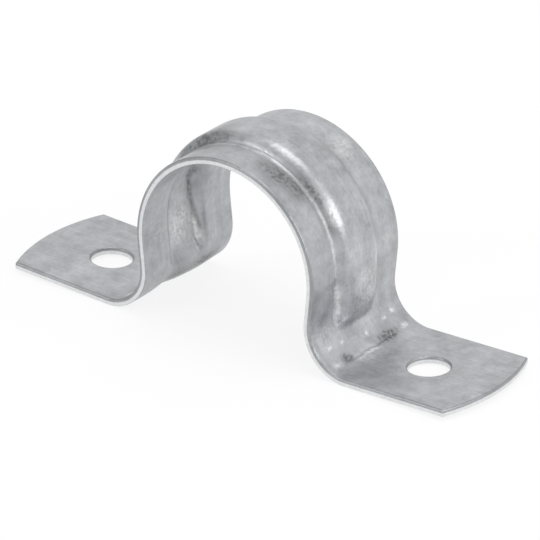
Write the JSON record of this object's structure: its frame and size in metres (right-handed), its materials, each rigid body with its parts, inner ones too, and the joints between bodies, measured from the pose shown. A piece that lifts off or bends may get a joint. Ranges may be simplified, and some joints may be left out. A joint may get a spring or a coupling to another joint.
{
  "type": "two-hole conduit strap",
  "caption": "Arched sheet-steel strap with a raised rib over the arch and a flat drilled foot at each side, holds a round conduit against a wall.",
  "frame": {"origin": "on the wall plane, midway between the two screw holes and midway along the width, under the middle of the arch", "axes": "+X along the strap from foot to foot, +Y along the conduit, +Z away from the wall"},
  "size_m": [0.065, 0.0164, 0.0245],
  "materials": {
    "strap": "satin zinc coating with a faint mottle"
  },
  "bodies": {
    "root": {"strap": "strap"}
  },
  "joints": []
}
